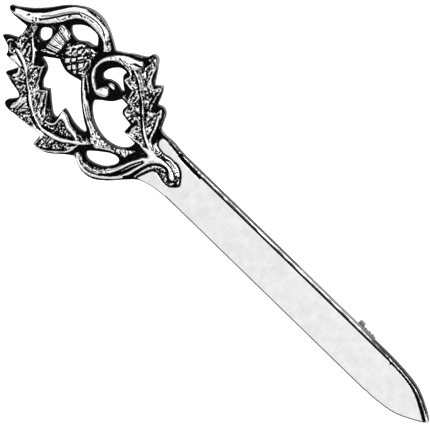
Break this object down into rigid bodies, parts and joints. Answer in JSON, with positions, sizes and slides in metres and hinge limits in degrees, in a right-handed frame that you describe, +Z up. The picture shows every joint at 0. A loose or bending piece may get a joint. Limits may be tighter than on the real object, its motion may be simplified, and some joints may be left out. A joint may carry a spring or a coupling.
{
  "type": "kilt pin",
  "caption": "Cast kilt pin with a pierced thistle head, a long flat blade and a straight pin with a catch on its back.",
  "frame": {"origin": "on the surface that the pin rests on, under the middle of its outline", "axes": "+X along the blade towards its tip, +Z up from the surface, +Y towards the raised side, where the catch shows"},
  "size_m": [0.0951, 0.0244, 0.0088],
  "materials": {
    "pewter": "polished antiqued pewter, blackened in its recesses",
    "pin_steel": "drawn steel wire, bright",
    "catch_metal": "nickel-plated, dulled"
  },
  "bodies": {
    "root": {"casting": "pewter", "pin_stem": "pin_steel", "catch": "catch_metal"}
  },
  "joints": []
}
